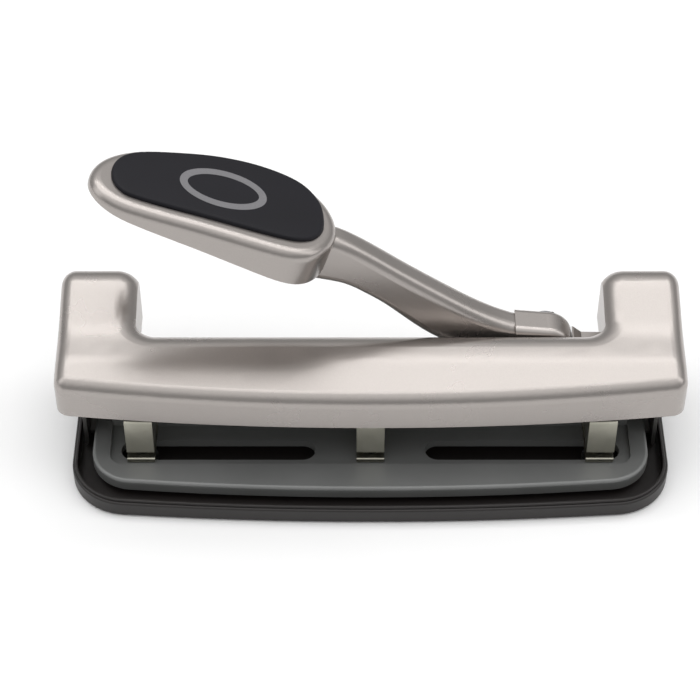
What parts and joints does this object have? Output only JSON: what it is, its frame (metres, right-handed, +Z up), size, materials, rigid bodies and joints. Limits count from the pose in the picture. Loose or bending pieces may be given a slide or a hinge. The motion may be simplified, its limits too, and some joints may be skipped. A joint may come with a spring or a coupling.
{
  "type": "desktop paper punch",
  "caption": "Desk punch with sliding heads under a long moulded cover, worked by a side lever with a wide padded palm rest, over a chip pan.",
  "frame": {"origin": "on the desk, under the middle of the whole machine's box", "axes": "+X to the right along the row of heads, +Y to the back, +Z up"},
  "size_m": [0.2924, 0.104, 0.1542],
  "materials": {
    "pan_plastic": "matt",
    "rubber": "matt",
    "plate_steel": "satin",
    "frame_steel": "satin",
    "cover_paint": "satin metallic",
    "nickel_steel": "satin nickel",
    "hard_steel": "ground",
    "spring_steel": "bright",
    "screw_steel": "zinc",
    "bronze": "satin",
    "pad_plastic": "matt",
    "ring_plastic": "satin"
  },
  "bodies": {
    "base_pan": {"base_pan": "pan_plastic", "rubber_feet": "rubber"},
    "frame": {"base_plate": "plate_steel", "base_screws": "screw_steel", "frame_screws": "screw_steel", "end_plate_left": "frame_steel", "end_plate_right": "frame_steel", "guide_rod": "hard_steel", "rod_clips": "spring_steel", "rear_frame_plate": "frame_steel", "pivot_lug": "frame_steel", "shaft_bushes": "bronze", "guide_pins": "hard_steel", "cover": "cover_paint", "cover_screws": "screw_steel", "hinge_fairing": "cover_paint", "head_centre": "nickel_steel", "die_centre": "hard_steel", "die_ring_centre": "spring_steel", "punch_spring_centre": "spring_steel"},
    "lever": {"pivot_shaft": "hard_steel", "shaft_clip": "spring_steel", "sector_gear": "hard_steel", "lever_core": "frame_steel", "root_collar": "cover_paint", "handle_shell": "cover_paint", "handle_underside": "cover_paint", "handle_screws": "screw_steel", "grip_pad": "pad_plastic", "pad_ring": "ring_plastic"},
    "slide_bar": {"slide_bar": "frame_steel"},
    "press_bar": {"press_bar": "frame_steel", "follower_pins": "hard_steel"},
    "head_left": {"head_left": "nickel_steel", "die_left": "hard_steel", "die_ring_left": "spring_steel", "punch_spring_left": "spring_steel"},
    "head_right": {"head_right": "nickel_steel", "die_right": "hard_steel", "die_ring_right": "spring_steel", "punch_spring_right": "spring_steel"},
    "punch_left": {"punch_left": "hard_steel", "spring_clip_left": "spring_steel"},
    "punch_centre": {"punch_centre": "hard_steel", "spring_clip_centre": "spring_steel"},
    "punch_right": {"punch_right": "hard_steel", "spring_clip_right": "spring_steel"}
  },
  "joints": [
    {"name": "pan_release", "type": "slide", "parent": "base_pan", "child": "frame", "axis": [0, 0, 1], "range_m": [0, 0.03]},
    {"name": "lever_hinge", "type": "hinge", "parent": "frame", "child": "lever", "pos_m": [0.083, 0.021, 0.048], "axis": [0, 1, 0], "range_deg": [-16, 0], "stiffness_Nm_per_rad": 1.5, "springref_deg": 20.05},
    {"name": "bar_slide", "type": "slide", "parent": "frame", "child": "slide_bar", "axis": [1, 0, 0], "range_m": [0, 0.00783]},
    {"name": "press_slide", "type": "slide", "parent": "frame", "child": "press_bar", "axis": [0, 0, 1], "range_m": [-0.00702, 0]},
    {"name": "head_left_slide", "type": "slide", "parent": "frame", "child": "head_left", "axis": [1, 0, 0], "range_m": [-0.003, 0.073]},
    {"name": "head_right_slide", "type": "slide", "parent": "frame", "child": "head_right", "axis": [1, 0, 0], "range_m": [-0.073, 0.003]},
    {"name": "punch_left_slide", "type": "slide", "parent": "head_left", "child": "punch_left", "axis": [0, 0, 1], "range_m": [-0.00702, 0], "deforming": ["punch_spring_left"]},
    {"name": "punch_centre_slide", "type": "slide", "parent": "frame", "child": "punch_centre", "axis": [0, 0, 1], "range_m": [-0.00702, 0], "deforming": ["punch_spring_centre"]},
    {"name": "punch_right_slide", "type": "slide", "parent": "head_right", "child": "punch_right", "axis": [0, 0, 1], "range_m": [-0.00702, 0], "deforming": ["punch_spring_right"]}
  ],
  "couplings": [
    {"joint": "bar_slide", "follows": "lever_hinge", "m_per_rad": -0.028},
    {"joint": "press_slide", "follows": "lever_hinge", "m_per_rad": 0.025067},
    {"joint": "punch_left_slide", "follows": "lever_hinge", "m_per_rad": 0.025067},
    {"joint": "punch_centre_slide", "follows": "lever_hinge", "m_per_rad": 0.025067},
    {"joint": "punch_right_slide", "follows": "lever_hinge", "m_per_rad": 0.025067}
  ]
}
